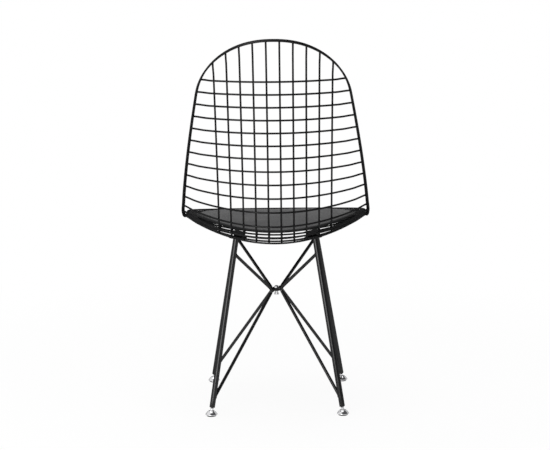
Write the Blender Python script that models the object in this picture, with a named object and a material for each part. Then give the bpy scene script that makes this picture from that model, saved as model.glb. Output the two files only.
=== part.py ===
# Dining chair with a welded wire shell on a cross-braced rod base
# Metres, +Z up. The chair faces -Y and stands on z = 0, and +X is the sitter's left.

import bpy
import numpy as np
from math import radians
from mathutils import Matrix, Vector

# Clearances
GAP = 0.0003                     # between pieces that touch or are welded
CLAMP_GAP = 0.0006               # between a flat clamp plate and the slightly curved mesh

# Wire shell: gauges and counts
WIRE_DIAMETER = 0.0038
RIM_DIAMETER = 0.0038
LONG_WIRES = 10                  # wires from the arch down the back and along the seat
LONG_PITCH = 0.0271
CROSS_WIRES = 24                 # wires from side to side
FRONT_ROW = 0.0367               # first cross wire behind the front edge
TOP_ROW = 0.0968                 # last cross wire below the top of the arch
END_FLAT = 0.003                 # wire end that lies level with the joint of the two rim wires
END_RAMP = 0.030                 # wire end over which it comes down from its own layer

# Wire shell: place of the front edge, and the two profiles that run back and up from it
FRONT_REACH = 0.188              # front edge ahead of the middle of the base
FRONT_HEIGHT = 0.398
SEAT_FALL = radians(2.7)         # the seat falls towards the back
SEAT_LENGTH = 0.325
BEND_LENGTH = 0.090
BEND_TURN = radians(91.7)
LUMBAR_LENGTH = 0.1385
LUMBAR_TURN = radians(-20)
BACK_LENGTH = 0.2818
BACK_TURN = radians(-7)
SIDE_INSET = 0.009               # side profile starts a little behind the centre profile
SIDE_RISE = 0.002
SIDE_SEAT_LENGTH = 0.167
SIDE_SEAT_TURN = radians(17.7)
SIDE_BEND_LENGTH = 0.071
SIDE_BEND_TURN = radians(35)
SIDE_LUMBAR_LENGTH = 0.154
SIDE_LUMBAR_TURN = radians(5.5)
SIDE_BACK_LENGTH = 0.3098
SIDE_BACK_TURN = radians(-1)

# Wire shell: half widths of the outline
SEAT_HALF_WIDTH = 0.2036
TOP_HALF_WIDTH = 0.1343          # where the sides would meet the top of the arch
SIDE_POWER = 1.35                # above 1 the sides start upright and lean in more and more
ARCH_LENGTH = 0.134              # how far down the arch's rounding reaches
ARCH_POWER = 2.22                # 2 is an ellipse, more is squarer
FRONT_ROUND = 0.008              # how far the rounding of the front corners reaches
RIM_STEP = 0.014                 # longest straight piece of the rim

# Clamps that hold the shell on the legs, each in one opening of the mesh
CLAMP_WIDTH = 0.0305
CLAMP_DEPTH = 0.034
CLAMP_THICKNESS = 0.0022
CLAMP_BOSS_RADIUS = 0.0035
CLAMP_SQUARENESS = 7.0
CLAMP_COLUMN = 3                 # opening between the third and fourth wire from the middle
FRONT_CLAMP_ROW = 3              # opening behind the third cross wire
REAR_CLAMP_ROW = 9

# Base
LEG_DIAMETER = 0.0119
LEG_OUTSET = 0.004               # leg centre outside the middle of its plate
REAR_FOOT_X = 0.1431
FRONT_FOOT_X = 0.1487
FOOT_Y = 0.1438
STRUT_DIAMETER = 0.0070
STRUT_BEND_RADIUS = 0.009
STRUT_TOP_DROP = 0.0345          # weld below the top of the leg, along the leg
STRUT_FOOT_RISE = 0.0165         # weld above the bottom of the leg
HUB_HEIGHT = 0.2505
HUB_REACH = 0.0088               # where the two arms of a strut would cross, from the hub's axis
HUB_SPREAD = 0.0052              # the same point, off the hub's middle line
TAB_RADIUS = 0.0084
TAB_THICKNESS = 0.0034
RIVET_RADIUS = 0.003
RIVET_HEAD_RADIUS = 0.0056
RIVET_HEAD_HEIGHT = 0.0046
RIVET_HEAD_SWEEP = radians(75)   # the dome ends in a small flat
RIVET_COLLAR_RADIUS = 0.0037     # spacer under the tabs
RIVET_COLLAR_HEIGHT = 0.0052
RIVET_TAIL_RADIUS = 0.0054
RIVET_TAIL_HEIGHT = 0.0038
RIVET_TAIL_ROUND = 0.0012

# Levelling glides
BALL_RADIUS = 0.0052
BALL_HEIGHT = 0.0082             # ball centre above the floor
NECK_RADIUS = 0.0028
STUD_RADIUS = 0.0036
STUD_SHOULDER = 0.0078           # start of the thread above the ball centre
STUD_LENGTH = 0.030              # top of the thread above the ball centre
LEG_END = 0.0105                 # end of the leg above the ball centre
BORE_DEPTH = 0.027
FOOT_RADIUS = 0.0129
FOOT_TREAD_RADIUS = 0.0108
FOOT_RIM_LOW = 0.0032            # chrome rim above the floor
FOOT_RIM_HIGH = 0.0043
FOOT_SHOULDER_RADIUS = 0.0100
FOOT_SHOULDER_HEIGHT = 0.0084
FOOT_NECK_RADIUS = 0.0064
FOOT_HEIGHT = 0.0116
MOUTH_RADIUS = 0.0050            # narrower than the ball, so that it holds it

# Seat pad
PAD_FRONT = 0.035                # front edge behind the front edge of the shell
PAD_REAR = 0.267
PAD_HALF_WIDTH = 0.1834
PAD_EDGE = 0.0042                # thickness at the seam
PAD_CROWN = 0.011                # further height in the middle
PAD_DROOP = 0.0028               # how far the edges hang below the middle, towards the mesh
PAD_ROUND = 0.003                # how far the edge bulges past the seam
PAD_WAIST = 0.022                # share by which the sides are drawn in between the corners
PAD_SQUARENESS = 2.7
PAD_FULLNESS = 4.0               # 2 is a plain dome, more is fuller towards the edge

# Colours and finish
BLACK_PAINT = ("black_paint", (0.012, 0.012, 0.013), 0.42, 0.0)
CHROME = ("chrome", (0.72, 0.72, 0.73), 0.12, 1.0)
GREY_LEATHER = ("grey_leather", (0.082, 0.082, 0.084), 0.62, 0.0)

# Fineness of the round pieces
RING_SIDES = 16
PAD_SIDES = 48
BALL_RINGS = 6
BALL_POLE = 0.97                 # share of the radius at which a ball ends in a small flat
BEND_STEPS = 7
SHARP_EDGE = radians(35)
SIDES = {"left": 1, "right": -1}
ENDS = ("front", "rear")

CENTRE = ((SEAT_LENGTH, 0.0), (BEND_LENGTH, BEND_TURN),
          (LUMBAR_LENGTH, LUMBAR_TURN), (BACK_LENGTH, BACK_TURN))
SIDE = ((SIDE_SEAT_LENGTH, SIDE_SEAT_TURN), (SIDE_BEND_LENGTH, SIDE_BEND_TURN),
        (SIDE_LUMBAR_LENGTH, SIDE_LUMBAR_TURN), (SIDE_BACK_LENGTH, SIDE_BACK_TURN))
STATIONS = np.cumsum([0.0] + [length for length, turn in CENTRE])
SHELL_LENGTH = STATIONS[-1]
CORNER_STATION = SEAT_LENGTH + BEND_LENGTH / 2
ROW_PITCH = (SHELL_LENGTH - FRONT_ROW - TOP_ROW) / (CROSS_WIRES - 1)
ROWS = FRONT_ROW + ROW_PITCH * np.arange(CROSS_WIRES)
COLUMNS = LONG_PITCH * (np.arange(LONG_WIRES) - (LONG_WIRES - 1) / 2)
LAYER = (WIRE_DIAMETER + GAP) / 2
RIM_LIFT = (RIM_DIAMETER + GAP) / 2
MESH_TOP = WIRE_DIAMETER + GAP / 2


def unit(vector):
    return vector / np.linalg.norm(vector)


def arc_point(start, heading, length, turn, share):
    # Point after a share of a stretch that turns evenly
    half = turn * share / 2
    chord = length * share * np.sinc(half / np.pi)
    return start + chord * np.array([np.cos(heading + half), np.sin(heading + half)])


def chain_starts(start, heading, stretches):
    # Start point and heading of each stretch, in the plane of Y and Z
    starts = []
    for length, turn in stretches:
        starts.append((start, heading))
        start = arc_point(start, heading, length, turn, 1.0)
        heading += turn
    return starts


FRONT_POINT = np.array([-FRONT_REACH, FRONT_HEIGHT])
SIDE_POINT = FRONT_POINT + np.array([SIDE_INSET, SIDE_RISE])
CENTRE_STARTS = chain_starts(FRONT_POINT, -SEAT_FALL, CENTRE)
SIDE_STARTS = chain_starts(SIDE_POINT, -SEAT_FALL, SIDE)


def profile_points(station):
    # Centre and side profile at one distance from the front edge
    index = int(np.clip(np.searchsorted(STATIONS, station, side="right") - 1, 0, len(CENTRE) - 1))
    share = (station - STATIONS[index]) / CENTRE[index][0]
    centre = arc_point(*CENTRE_STARTS[index], *CENTRE[index], share)
    side = arc_point(*SIDE_STARTS[index], *SIDE[index], share)
    return centre, side


def side_half_width(station):
    # Sides: even along the seat, narrowing up the back
    share = max(0.0, (station - CORNER_STATION) / (SHELL_LENGTH - CORNER_STATION))
    return SEAT_HALF_WIDTH + (TOP_HALF_WIDTH - SEAT_HALF_WIDTH) * share ** SIDE_POWER


def rim_half_width(station):
    # The sides, closed by the arch at the top and by round corners at the front
    fall = np.clip((SHELL_LENGTH - station) / ARCH_LENGTH, 0.0, 1.0)
    arch = (1 - (1 - fall) ** ARCH_POWER) ** (1 / ARCH_POWER)
    front = np.sqrt(1 - np.exp(-max(0.0, station) / FRONT_ROUND))
    return side_half_width(station) * arch * front


def shell_point(across, station):
    # Each cross section is a parabola from the centre profile out to the side profile
    centre, side = profile_points(station)
    share = (across / side_half_width(station)) ** 2
    y, z = centre + (side - centre) * share
    return np.array([across, y, z])


def shell_frame(across, station):
    # Point, sideways direction, rearward direction and inward normal of the shell
    step = 1e-5
    sideways = shell_point(across + step, station) - shell_point(across - step, station)
    along = shell_point(across, station + step) - shell_point(across, station - step)
    normal = unit(np.cross(sideways, along))
    sideways = unit(sideways)
    return shell_point(across, station), sideways, np.cross(normal, sideways), normal


def lifted(across, station, lift):
    point, sideways, along, normal = shell_frame(across, station)
    return point + normal * lift


def rim_station(across, low, high):
    # Station between low and high where the outline is as wide as asked
    widening = rim_half_width(high) > rim_half_width(low)
    for _ in range(60):
        middle = (low + high) / 2
        if (rim_half_width(middle) < across) == widening:
            low = middle
        else:
            high = middle
    return (low + high) / 2


def set_back(across, station, move):
    # Step back along a wire, which runs as (across, station), until its flat end clears the rim
    step = 1e-5
    behind = shell_point(across - move[0] * step, station - move[1] * step)
    wire = (shell_point(across, station) - behind) / step
    low = shell_point(np.sign(across) * rim_half_width(station - step), station - step)
    high = shell_point(np.sign(across) * rim_half_width(station + step), station + step)
    lean = abs(unit(high - low) @ unit(wire))
    clear = RIM_DIAMETER / 2 + 2 * GAP + WIRE_DIAMETER / 2 * lean
    return clear / np.sqrt(1 - lean ** 2) / np.linalg.norm(wire)


def wire_stations(start, end, crossings):
    # Points along a wire: its ends, the ends of its ramps, and each crossing
    inner = [c for c in crossings if start + END_FLAT + WIRE_DIAMETER < c < end - END_FLAT - WIRE_DIAMETER]
    first_ramp = min(END_RAMP, inner[0] - start - WIRE_DIAMETER)
    last_ramp = min(END_RAMP, end - inner[-1] - WIRE_DIAMETER)
    opening = [(start, 0.0), (start + END_FLAT, 0.0), (start + first_ramp, 1.0)]
    closing = [(end - last_ramp, 1.0), (end - END_FLAT, 0.0), (end, 0.0)]
    return opening + [(c, 1.0) for c in inner] + closing


def make_material(name, colour, roughness, metallic):
    material = bpy.data.materials.new(name)
    material.use_nodes = True
    shader = material.node_tree.nodes["Principled BSDF"]
    shader.inputs["Base Color"].default_value = (*colour, 1.0)
    shader.inputs["Roughness"].default_value = roughness
    shader.inputs["Metallic"].default_value = metallic
    return material


def add_object(name, data, finish, parent, matrix=None):
    data.materials.append(make_material(name + "_" + finish[0], *finish[1:]))
    piece = bpy.data.objects.new(name, data)
    bpy.context.collection.objects.link(piece)
    piece.parent = parent
    if matrix is not None:
        piece.matrix_local = matrix
    return piece


def add_rod(name, points, diameter, finish, parent, closed=False, resolution=1):
    # Round rod along a path
    curve = bpy.data.curves.new(name, "CURVE")
    curve.dimensions = "3D"
    curve.bevel_depth = diameter / 2
    curve.bevel_resolution = resolution
    curve.use_fill_caps = not closed
    spline = curve.splines.new("POLY")
    spline.points.add(len(points) - 1)
    for spot, point in zip(spline.points, points):
        spot.co = (*point, 1.0)
    spline.use_cyclic_u = closed
    spline.use_smooth = True
    return add_object(name, curve, finish, parent)


def add_loft(name, rings, finish, parent, matrix=None, closed=False):
    # Skin over rings of equal count, capped at both ends, or joined end to end
    count = len(rings[0])
    pairs = len(rings) if closed else len(rings) - 1
    faces = []
    for ring in range(pairs):
        low = ring * count
        high = (ring + 1) % len(rings) * count
        for spot in range(count):
            after = (spot + 1) % count
            faces.append((low + spot, low + after, high + after, high + spot))
    if not closed:
        faces.append(tuple(range(count - 1, -1, -1)))
        faces.append(tuple((len(rings) - 1) * count + spot for spot in range(count)))
    mesh = bpy.data.meshes.new(name)
    mesh.from_pydata(np.concatenate(rings).tolist(), [], faces)
    mesh.shade_smooth()
    mesh.set_sharp_from_angle(angle=SHARP_EDGE)
    return add_object(name, mesh, finish, parent, matrix)


def turns(count=RING_SIDES):
    return 2 * np.pi * np.arange(count) / count


def circle(radius, height, count=RING_SIDES):
    angle = turns(count)
    return np.stack([radius * np.cos(angle), radius * np.sin(angle), np.full(count, height)], 1)


def ball_rings(radius, highest):
    # Radii and heights of a ball from its lower pole up to a height
    tilt = np.linspace(-np.arcsin(BALL_POLE), np.arcsin(highest / radius), BALL_RINGS)
    return [(radius * np.cos(t), radius * np.sin(t)) for t in tilt]


def rounded_box(half_width, half_depth, squareness, count=RING_SIDES):
    angle = turns(count)
    power = 2 / squareness
    x = half_width * np.sign(np.cos(angle)) * np.abs(np.cos(angle)) ** power
    y = half_depth * np.sign(np.sin(angle)) * np.abs(np.sin(angle)) ** power
    return x, y


def add_long_wires(root):
    # Wires of the inner layer, from the front rim to the arch
    widest = CORNER_STATION
    for number, across in enumerate(COLUMNS, 1):
        start = rim_station(abs(across), 0.0, widest)
        start += set_back(across, start, (0, -1))
        end = rim_station(abs(across), widest, SHELL_LENGTH)
        end -= set_back(across, end, (0, 1))
        bend = SEAT_LENGTH + BEND_LENGTH * np.linspace(0.0, 1.0, 5)
        spots = wire_stations(start, end, sorted([*ROWS, *bend]))
        points = [lifted(across, station, LAYER * share) for station, share in spots]
        add_rod(f"long_wire_{number:02d}", points, WIRE_DIAMETER, BLACK_PAINT, root)


def add_cross_wires(root):
    # Wires of the outer layer, from side to side
    for number, station in enumerate(ROWS, 1):
        end = rim_half_width(station)
        end -= set_back(end, station, (1, 0))
        outer = (COLUMNS[-1] + end) / 2
        spots = wire_stations(-end, end, sorted([*COLUMNS, -outer, outer]))
        points = [lifted(across, station, -LAYER * share) for across, share in spots]
        add_rod(f"cross_wire_{number:02d}", points, WIRE_DIAMETER, BLACK_PAINT, root)


def rim_path():
    # Half of the outline as (across, station), with a point wherever a wire ends on it
    stations = [0.0, SHELL_LENGTH, *ROWS]
    for across in COLUMNS[COLUMNS > 0]:
        stations.append(rim_station(across, 0.0, CORNER_STATION))
        stations.append(rim_station(across, CORNER_STATION, SHELL_LENGTH))
    # An angle in place of the station spreads the points evenly over the round ends
    angles = sorted(np.arccos(1 - 2 * np.array(stations) / SHELL_LENGTH))
    path = [angles[0]]
    for angle in angles[1:]:
        low = rim_spot(path[-1])
        parts = int(np.ceil(np.linalg.norm(shell_point(*rim_spot(angle)) - shell_point(*low)) / RIM_STEP))
        path += list(np.linspace(path[-1], angle, parts + 1)[1:])
    return [rim_spot(angle) for angle in path]


def rim_spot(angle):
    station = SHELL_LENGTH * (1 - np.cos(angle)) / 2
    return rim_half_width(station), station


def add_rims(root):
    # Two rim wires side by side, with the ends of the mesh welded against both
    half = rim_path()
    loop = half + [(-across, station) for across, station in half[-2:0:-1]]
    for name, lift in (("rim_inner", RIM_LIFT), ("rim_outer", -RIM_LIFT)):
        points = [lifted(across, station, lift) for across, station in loop]
        add_rod(name, points, RIM_DIAMETER, BLACK_PAINT, root, closed=True)


def clamp_frame(end, side):
    # Middle of the mesh opening that a leg's clamp sits in
    row = FRONT_CLAMP_ROW if end == "front" else REAR_CLAMP_ROW
    station = (ROWS[row - 1] + ROWS[row]) / 2
    across = CLAMP_COLUMN * LONG_PITCH * side
    return shell_frame(across, station)


def in_frame(frame, x, y, z):
    point, sideways, along, normal = frame
    return point + np.outer(x, sideways) + np.outer(y, along) + np.outer(z, normal)


def clamp_outline(frame, height):
    x, y = rounded_box(CLAMP_WIDTH / 2, CLAMP_DEPTH / 2, CLAMP_SQUARENESS)
    return in_frame(frame, x, y, np.full(RING_SIDES, height))


def add_clamp(root, end, side_name):
    # Plate on top of the mesh, with a boss that passes down between the wires
    frame = clamp_frame(end, SIDES[side_name])
    low = MESH_TOP + CLAMP_GAP
    foot = -MESH_TOP - CLAMP_GAP + GAP
    boss = circle(CLAMP_BOSS_RADIUS, 0.0)
    rings = [
        in_frame(frame, boss[:, 0], boss[:, 1], np.full(RING_SIDES, foot)),
        in_frame(frame, boss[:, 0], boss[:, 1], np.full(RING_SIDES, low)),
        clamp_outline(frame, low),
        clamp_outline(frame, low + CLAMP_THICKNESS),
    ]
    add_loft(f"clamp_{end}_{side_name}", rings, BLACK_PAINT, root)


def foot_centre(end, side):
    x = FRONT_FOOT_X if end == "front" else REAR_FOOT_X
    y = -FOOT_Y if end == "front" else FOOT_Y
    return np.array([x * side, y, BALL_HEIGHT])


def leg_axis(end, side):
    # Top of the leg under its plate, ball centre at the foot, and the direction up the leg
    point, sideways, along, normal = clamp_frame(end, side)
    under = -(MESH_TOP + CLAMP_GAP + CLAMP_THICKNESS)
    top = point + sideways * LEG_OUTSET * side + normal * under
    ball = foot_centre(end, side)
    return top, ball, unit(top - ball)


def axis_matrix(origin, direction):
    # Frame with its Z along a direction
    turn = Vector((0, 0, 1)).rotation_difference(Vector(direction))
    return Matrix.Translation(origin) @ turn.to_matrix().to_4x4()


def add_leg(root, end, side_name):
    # Rod welded under its clamp plate, bored at the foot for the glide's stud
    side = SIDES[side_name]
    frame = clamp_frame(end, side)
    normal = frame[3]
    top, ball, up = leg_axis(end, side)
    under = -(MESH_TOP + CLAMP_GAP + CLAMP_THICKNESS)
    spin = axis_matrix((0, 0, 0), up)

    def ring(radius, height):
        flat = circle(radius, 0.0)
        return np.array([spin @ Vector(p) for p in flat]) + ball + up * height

    foot_ring = ring(LEG_DIAMETER / 2, LEG_END)
    reach = ((top - foot_ring) @ normal) / (up @ normal)
    start = start_index(frame, foot_ring + np.outer(reach, up), top)
    outline = [np.roll(clamp_outline(frame, height), start, axis=0)
               for height in (under + CLAMP_THICKNESS, under)]
    rings = [ring(STUD_RADIUS + GAP, LEG_END + BORE_DEPTH), ring(STUD_RADIUS + GAP, LEG_END),
             foot_ring, foot_ring + np.outer(reach, up), outline[1], outline[0]]
    add_loft(f"leg_{end}_{side_name}", rings, BLACK_PAINT, root)


def start_index(frame, ring, centre):
    # Steps by which the plate's outline is turned to face the leg's ring point for point
    point, sideways, along, normal = frame
    spoke = ring[0] - centre
    angle = np.arctan2(spoke @ along, spoke @ sideways)
    return -int(round(angle / (2 * np.pi) * RING_SIDES))


def weld_end(joint, direction, axis):
    # End of a strut's middle line where its flat end just clears the leg
    lean = abs(direction @ axis)
    clear = LEG_DIAMETER / 2 + GAP + STRUT_DIAMETER / 2 * lean
    return joint - direction * clear / np.sqrt(1 - lean ** 2)


def tab_base(side):
    # Underside of a hub tab: the right one lies on the left one
    return HUB_HEIGHT - GAP / 2 - TAB_THICKNESS if side > 0 else HUB_HEIGHT + GAP / 2


def strut_path(end, side):
    # Rod bent into a V: from high on the leg to its tab at the hub and back to low on the leg
    top, ball, up = leg_axis(end, side)
    high = top - up * STRUT_TOP_DROP
    low = ball + up * (LEG_END + STRUT_FOOT_RISE)
    spread = -HUB_SPREAD if end == "front" else HUB_SPREAD
    apex = np.array([HUB_REACH * side, spread, tab_base(side) + TAB_THICKNESS / 2])
    rise = unit(high - apex)
    fall = unit(low - apex)
    half = np.arccos(rise @ fall) / 2
    middle = apex + unit(rise + fall) * STRUT_BEND_RADIUS / np.sin(half)
    inward = unit(apex - middle)
    upward = unit(rise - fall)
    sweep = np.linspace(np.pi / 2 - half, half - np.pi / 2, BEND_STEPS)
    bend = [middle + STRUT_BEND_RADIUS * (inward * np.cos(a) + upward * np.sin(a)) for a in sweep]
    return [weld_end(high, rise, up), *bend, weld_end(low, fall, up)]


def add_strut(root, end, side_name):
    points = strut_path(end, SIDES[side_name])
    add_rod(f"strut_{end}_{side_name}", points, STRUT_DIAMETER, BLACK_PAINT, root, resolution=2)


def tab_reach(side):
    # Distance from the hub's axis to the nearest strut, less the rod's own half
    nearest = min(min(abs(p[0]) for p in strut_path(end, side)) for end in ENDS)
    return nearest - STRUT_DIAMETER / 2 - GAP


def add_tab(root, side_name):
    # Plate welded to one pair of struts, lapped over its partner at the hub
    side = SIDES[side_name]
    count = 2 * RING_SIDES
    angle = turns(count)
    toward = np.maximum(np.cos(angle) * side, 1e-9)
    off = np.maximum(np.abs(np.sin(angle)), 1e-9)
    straight = np.minimum(tab_reach(side) / toward, TAB_RADIUS / off)
    radius = np.where(np.cos(angle) * side > 0, straight, TAB_RADIUS)
    base = tab_base(side)

    def ring(radii, height):
        return np.stack([radii * np.cos(angle), radii * np.sin(angle), np.full(count, height)], 1)

    hole = np.full(count, RIVET_RADIUS + GAP)
    rings = [ring(radius, base), ring(radius, base + TAB_THICKNESS),
             ring(hole, base + TAB_THICKNESS), ring(hole, base)]
    add_loft(f"hub_tab_{side_name}", rings, BLACK_PAINT, root, closed=True)


def add_rivet(root):
    # Rivet through both tabs, domed above and taller below
    top = TAB_THICKNESS + 1.5 * GAP
    dome = [(RIVET_HEAD_RADIUS * np.cos(t), top + RIVET_HEAD_HEIGHT * np.sin(t))
            for t in np.linspace(0.0, RIVET_HEAD_SWEEP, 5)]
    collar = -top - RIVET_COLLAR_HEIGHT
    tail = collar - RIVET_TAIL_HEIGHT
    profile = [(RIVET_TAIL_RADIUS - RIVET_TAIL_ROUND, tail), (RIVET_TAIL_RADIUS, tail + RIVET_TAIL_ROUND),
               (RIVET_TAIL_RADIUS, collar), (RIVET_COLLAR_RADIUS, collar), (RIVET_COLLAR_RADIUS, -top),
               (RIVET_RADIUS, -top), (RIVET_RADIUS, top), *dome]
    rings = [circle(radius, height) for radius, height in profile]
    add_loft("hub_rivet", rings, CHROME, root, Matrix.Translation((0, 0, HUB_HEIGHT)))


def add_stud(root, end, side_name):
    # Threaded stud with a ball at its foot, along the leg
    top, ball, up = leg_axis(end, SIDES[side_name])
    neck = np.sqrt(BALL_RADIUS ** 2 - NECK_RADIUS ** 2)
    profile = ball_rings(BALL_RADIUS, neck)
    profile += [(NECK_RADIUS, STUD_SHOULDER), (STUD_RADIUS, STUD_SHOULDER),
                (STUD_RADIUS, STUD_LENGTH)]
    rings = [circle(radius, height) for radius, height in profile]
    add_loft(f"glide_stud_{end}_{side_name}", rings, CHROME, root, axis_matrix(ball, up))


def add_foot(root, end, side_name):
    # Round foot that swivels on the ball and lies flat on the floor
    ball = foot_centre(end, SIDES[side_name])
    socket = BALL_RADIUS + GAP
    lip = np.sqrt(socket ** 2 - MOUTH_RADIUS ** 2)
    inside = ball_rings(socket, lip)
    outside = [(FOOT_TREAD_RADIUS, 0.0), (FOOT_RADIUS, FOOT_RIM_LOW), (FOOT_RADIUS, FOOT_RIM_HIGH),
               (FOOT_SHOULDER_RADIUS, FOOT_SHOULDER_HEIGHT), (FOOT_NECK_RADIUS, FOOT_HEIGHT),
               (MOUTH_RADIUS, FOOT_HEIGHT)]
    profile = [(radius, height - BALL_HEIGHT) for radius, height in outside] + inside[::-1]
    rings = [circle(radius, height) for radius, height in profile]
    add_loft(f"glide_foot_{end}_{side_name}", rings, CHROME, root, Matrix.Translation(ball))


def add_pad(root):
    # Crowned pad that follows the seat, rests on the front clamps and hangs down around them
    angle = turns(PAD_SIDES)
    half_depth = (PAD_REAR - PAD_FRONT) / 2
    middle = (PAD_REAR + PAD_FRONT) / 2
    drawn = 1 - PAD_WAIST * np.cos(2 * angle) ** 2

    def ring(share, lift, bulge=0.0):
        x, y = rounded_box(PAD_HALF_WIDTH - PAD_ROUND + bulge, half_depth - PAD_ROUND + bulge,
                           PAD_SQUARENESS, PAD_SIDES)
        x = x * drawn * share
        y = y * drawn * share
        return np.array([lifted(a, middle + b, lift) for a, b in zip(x, y)])

    def rest(share):
        return MESH_TOP + CLAMP_GAP + CLAMP_THICKNESS + GAP - PAD_DROOP * share ** 10

    def crown(share):
        return rest(share) + PAD_EDGE + PAD_CROWN * (1 - share ** PAD_FULLNESS)

    rings = [ring(share, rest(share)) for share in (0.25, 0.56, 0.8, 0.97)]
    rings.append(ring(1.0, rest(1.0) + PAD_EDGE * 0.25, PAD_ROUND * 0.8))
    rings.append(ring(1.0, rest(1.0) + PAD_EDGE * 0.6, PAD_ROUND))
    rings += [ring(share, crown(share)) for share in (0.98, 0.9, 0.75, 0.5, 0.22)]
    add_loft("seat_pad", rings, GREY_LEATHER, root)


def centre_on_floor(root):
    # Put the middle of the chair's plan over the origin
    graph = bpy.context.evaluated_depsgraph_get()
    spots = []
    for piece in root.children:
        solid = piece.evaluated_get(graph)
        mesh = solid.to_mesh()
        spots += [(solid.matrix_world @ vertex.co).y for vertex in mesh.vertices]
        solid.to_mesh_clear()
    root.location.y = -(min(spots) + max(spots)) / 2


def build_chair():
    root = bpy.data.objects.new("chair", None)
    bpy.context.collection.objects.link(root)
    add_long_wires(root)
    add_cross_wires(root)
    add_rims(root)
    for end in ENDS:
        for side_name in SIDES:
            add_clamp(root, end, side_name)
            add_leg(root, end, side_name)
            add_strut(root, end, side_name)
            add_stud(root, end, side_name)
            add_foot(root, end, side_name)
    for side_name in SIDES:
        add_tab(root, side_name)
    add_rivet(root)
    add_pad(root)
    centre_on_floor(root)


for old in list(bpy.data.objects):
    bpy.data.objects.remove(old, do_unlink=True)
build_chair()
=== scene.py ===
from math import asin, cos, pi, radians, sin, sqrt

import bmesh
import bpy
import numpy as np
from mathutils import Matrix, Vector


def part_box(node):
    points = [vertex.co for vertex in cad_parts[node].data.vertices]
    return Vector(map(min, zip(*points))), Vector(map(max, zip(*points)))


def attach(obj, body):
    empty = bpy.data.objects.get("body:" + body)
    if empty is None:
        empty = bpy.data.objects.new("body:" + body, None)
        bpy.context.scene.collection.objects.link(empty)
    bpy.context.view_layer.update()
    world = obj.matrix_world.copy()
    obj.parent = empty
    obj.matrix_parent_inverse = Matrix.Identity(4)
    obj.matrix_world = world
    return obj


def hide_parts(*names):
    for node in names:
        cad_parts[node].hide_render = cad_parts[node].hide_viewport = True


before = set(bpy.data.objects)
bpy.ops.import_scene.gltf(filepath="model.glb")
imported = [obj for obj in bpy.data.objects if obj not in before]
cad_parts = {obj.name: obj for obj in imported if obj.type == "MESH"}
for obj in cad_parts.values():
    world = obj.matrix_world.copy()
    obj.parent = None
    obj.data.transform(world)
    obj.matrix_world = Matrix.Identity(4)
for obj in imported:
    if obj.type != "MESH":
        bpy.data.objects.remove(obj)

scene = bpy.context.scene
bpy.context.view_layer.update()  # the box of the solids, before anything is added
print("frame loaded:", len(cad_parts), "nodes")

# Sizes of the wire shell, in metres
# A station is a distance along the shell's middle line, from the front edge
gap = 0.0003  # clear space between welded pieces
tiny = 1e-9  # keeps a divisor above zero
skyward = np.array([0.0, 0.0, 1.0])
shell = {
    "wire": 0.0019,  # radius of the mesh wire
    "rim": 0.0019,  # radius of a rim wire
    "longPitch": 0.0271, "longCount": 10,
    "crossCount": 24,
    "frontRow": 0.0367,  # first cross wire, behind the front edge
    "topRow": 0.0968,  # last cross wire, below the top of the arch
    "endFlat": 0.0055,  # wire end level with the joint of the two rim wires
    "endRamp": 0.0325,  # wire end over which it comes from its own layer
    "frontReach": 0.188, "frontHeight": 0.398,
    "seatFall": radians(2.7),
    # (length, turn) of each stretch, from the front edge to the top
    "centre": [(0.325, 0.0), (0.090, radians(91.7)), (0.1385, radians(-20)), (0.2818, radians(-7))],
    "side": [(0.167, radians(17.7)), (0.071, radians(35)), (0.154, radians(5.5)), (0.3098, radians(-1))],
    "sideInset": 0.009,  # the side line starts this far behind the middle line
    "sideRise": 0.002,
    "seatHalf": 0.2036,
    "topHalf": 0.1343,  # where the sides would meet the top of the arch
    "sidePower": 1.35,  # above 1 the sides start upright and lean in more and more
    "archLength": 0.134,
    "archPower": 2.22,  # 2 is an ellipse, more is squarer
    "frontRound": 0.008,
}
layer = shell["wire"] + gap / 2  # long wires lie this far inside the shell, cross wires outside
rimLift = shell["rim"] + gap / 2
meshTop = 2 * shell["wire"] + gap / 2


def boxMiddle(node):
    # mean of the two corners of its box
    low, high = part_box(node)
    return (np.array(low) + np.array(high)) / 2


# The feet stand equally far in front of and behind the base's middle, which gives the shell's place
chairShift = (boxMiddle("glide_foot_front_left")[1] + boxMiddle("glide_foot_rear_left")[1]) / 2


def unit(vectors):
    # each vector divided by its length
    return vectors / np.linalg.norm(vectors, axis=-1, keepdims=True)


def smoothStep(share):
    # 3 s^2 - 2 s^3, with s held between 0 and 1
    share = np.clip(share, 0.0, 1.0)
    return share * share * (3 - 2 * share)


def turnAngles(sides):
    # 2 pi k / sides, once round
    return 2 * pi * np.arange(sides) / sides


# Shell surface: arcs end to end make the middle and the side line, parabolas join them

def arcPoint(start, heading, length, turn, share):
    # chord of an even bend: length * sin(half turn) / half turn, along the mean heading
    half = turn * share / 2
    chord = length * share * np.sinc(half / pi)
    return start + chord[..., None] * np.stack([np.cos(heading + half), np.sin(heading + half)], -1)


def bendChain(start, heading, stretches):
    # each stretch starts where the one before it ends, with the heading it has there
    chain = {"start": [], "heading": [], "length": [], "turn": []}
    for length, turn in stretches:
        for key, value in zip(chain, (start, heading, length, turn)):
            chain[key].append(value)
        start = arcPoint(start, heading, length, turn, np.array(1.0))
        heading += turn
    return {key: np.array(value) for key, value in chain.items()}


frontPoint = np.array([-shell["frontReach"] + chairShift, shell["frontHeight"]])
sidePoint = frontPoint + np.array([shell["sideInset"], shell["sideRise"]])
centreChain = bendChain(frontPoint, -shell["seatFall"], shell["centre"])
sideChain = bendChain(sidePoint, -shell["seatFall"], shell["side"])
stretchStarts = np.concatenate([[0.0], np.cumsum(centreChain["length"])])
shellLength = stretchStarts[-1]
cornerStation = stretchStarts[1] + centreChain["length"][1] / 2


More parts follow.
